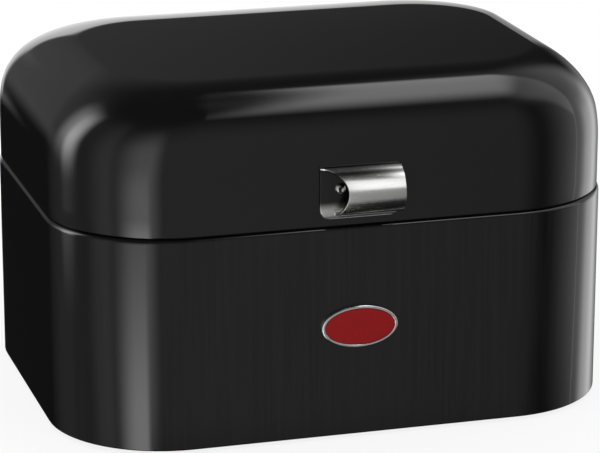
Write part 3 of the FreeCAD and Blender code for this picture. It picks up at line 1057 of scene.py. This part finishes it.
def set_world():
    """White behind the object and even light all round, but studio panels for its gloss.

    A bearing is the angle whose tangent is x / y, and a height the angle whose sine is z.
    """
    world = bpy.data.worlds.new("studio")
    bpy.context.scene.world = world
    world.use_nodes = True
    tree = world.node_tree
    tree.nodes.clear()
    x, y, z = axes(tree, "Generated")
    bearings = {side: combine(tree, "ARCTAN2", x, times(tree, y, side)) for side in (BACK, FRONT)}
    height = combine(tree, "ARCSINE", z)
    total = combine(tree, "ADD", overhead_panel(tree, x, y, z), GLOW)
    for bright, side, across, up in PANELS.values():
        panel = times(tree, window(tree, bearings[side], *across), window(tree, height, *up))
        total = combine(tree, "ADD", total, times(tree, panel, bright))
    plain, mirrored = (make_node(tree, "Background", {"Color": (1, 1, 1, 1), "Strength": strength})
                       .outputs["Background"] for strength in (1.0, total))
    rays = make_node(tree, "LightPath").outputs
    glossy = combine(tree, "MAXIMUM", rays["Is Glossy Ray"], rays["Is Transmission Ray"])
    mix = make_node(tree, "MixShader", {"Fac": glossy, 1: plain, 2: mirrored})
    make_node(tree, "OutputWorld", {"Surface": mix.outputs["Shader"]})


def set_floor():
    """Pale round floor, which gloss doesn't show. The camera sees most of it as plain white.

    It keeps a faint shadow by the object, which fades out with the distance from the middle.
    """
    s = bpy.context.scene.bin_stage
    t = np.linspace(0, 2 * math.pi, 96, endpoint=False)
    ring = np.stack([np.cos(t), np.sin(t), np.zeros_like(t)], -1) * s.floor_radius
    mesh = bpy.data.meshes.new("floor")
    mesh.from_pydata(ring.tolist(), [], [list(range(len(t)))])
    floor = bpy.data.objects.new("floor", mesh)
    bpy.context.scene.collection.objects.link(floor)
    material, tree, shader, place = new_material("floor")
    shader.inputs["Base Color"].default_value = (*s.floor, 1)
    shader.inputs["Roughness"].default_value = 0.9
    shader.inputs["Specular IOR Level"].default_value = 0.1
    far = make_node(tree, "VectorMath", {0: place}, operation="LENGTH").outputs["Value"]
    share = eased(tree, far, s.shadow_near, s.shadow_far, s.floor_white, 1.0)
    seen = times(tree, share, make_node(tree, "LightPath").outputs["Is Camera Ray"])
    white = make_node(tree, "Emission").outputs["Emission"]
    mix = make_node(tree, "MixShader", {"Fac": seen, 1: shader.outputs["BSDF"], 2: white})
    output = next(n for n in tree.nodes if n.bl_idname == "ShaderNodeOutputMaterial")
    tree.links.new(mix.outputs["Shader"], output.inputs["Surface"])
    mesh.materials.append(material)
    floor.visible_glossy = False


def set_handle_lamp():
    """Soft box in front, above the object, that lights only the handle with its screws and nuts.

    It gives the sheen along the curl. Its energy is the radiance times pi times its area.
    """
    s = bpy.context.scene.bin_stage
    low, high = node_box("handle")
    light = bpy.data.lights.new("handle soft box", "AREA")
    light.shape = "RECTANGLE"
    light.size, light.size_y = s.lamp_long, s.lamp_tall
    light.energy = s.lamp_bright * math.pi * s.lamp_long * s.lamp_tall
    lamp = bpy.data.objects.new("handle soft box", light)
    bpy.context.scene.collection.objects.link(lamp)
    way = Vector(s.lamp_way).normalized()
    lamp.location = Vector((low + high) / 2) + way * s.lamp_far
    lamp.rotation_euler = way.to_track_quat("Z", "Y").to_euler()
    alone = bpy.data.collections.new("lit by the soft box")
    for piece in bpy.data.objects:
        if piece.type == "MESH" and piece.name.startswith("handle"):
            alone.objects.link(piece)
    lamp.light_linking.receiver_collection = alone


class BIN_OT_stage(Operator):
    """Set the camera, the floor, the background and the lights"""
    bl_idname = "bread_bin.stage"
    bl_label = "Stage"

    def execute(self, context):
        context.scene.view_settings.view_transform = "Standard"
        set_camera()
        set_world()
        set_floor()
        set_handle_lamp()
        return {"FINISHED"}


# ---------------------------------------------------------------- panel and registration
class BIN_PT_tools(Panel):
    """Buttons for every piece, and the sizes and colours that they read"""
    bl_idname = "BIN_PT_tools"
    bl_label = "Bread Bin"
    bl_space_type = "VIEW_3D"
    bl_region_type = "UI"
    bl_category = "Bread Bin"

    def draw(self, context):
        for operator in OPERATORS:
            self.layout.operator(operator.bl_idname)
        for name, group in GROUPS.items():
            box = self.layout.box()
            for setting in group.__annotations__:
                box.prop(getattr(context.scene, name), setting)


GROUPS = {"bin_sheet": BIN_PG_sheet, "bin_lid": BIN_PG_lid, "bin_handle": BIN_PG_handle,
          "bin_finish": BIN_PG_finish, "bin_stage": BIN_PG_stage}
OPERATORS = (BIN_OT_wall, BIN_OT_lid, BIN_OT_handle, BIN_OT_badge, BIN_OT_hinges, BIN_OT_feet,
             BIN_OT_stage)


def register():
    """Registers the settings, the operators and the panel."""
    for cls in (*GROUPS.values(), *OPERATORS, BIN_PT_tools):
        bpy.utils.register_class(cls)
    for name, group in GROUPS.items():
        setattr(bpy.types.Scene, name, PointerProperty(type=group))


def unregister():
    """Undoes register."""
    for name in GROUPS:
        delattr(bpy.types.Scene, name)
    for cls in reversed((*GROUPS.values(), *OPERATORS, BIN_PT_tools)):
        bpy.utils.unregister_class(cls)


def main():
    """Builds every piece in order."""
    register()
    bpy.ops.bread_bin.wall()
    bpy.ops.bread_bin.lid()
    bpy.ops.bread_bin.handle()
    bpy.ops.bread_bin.badge()
    bpy.ops.bread_bin.hinges()
    bpy.ops.bread_bin.feet()
    bpy.ops.bread_bin.stage()


if __name__ == "__main__":
    main()
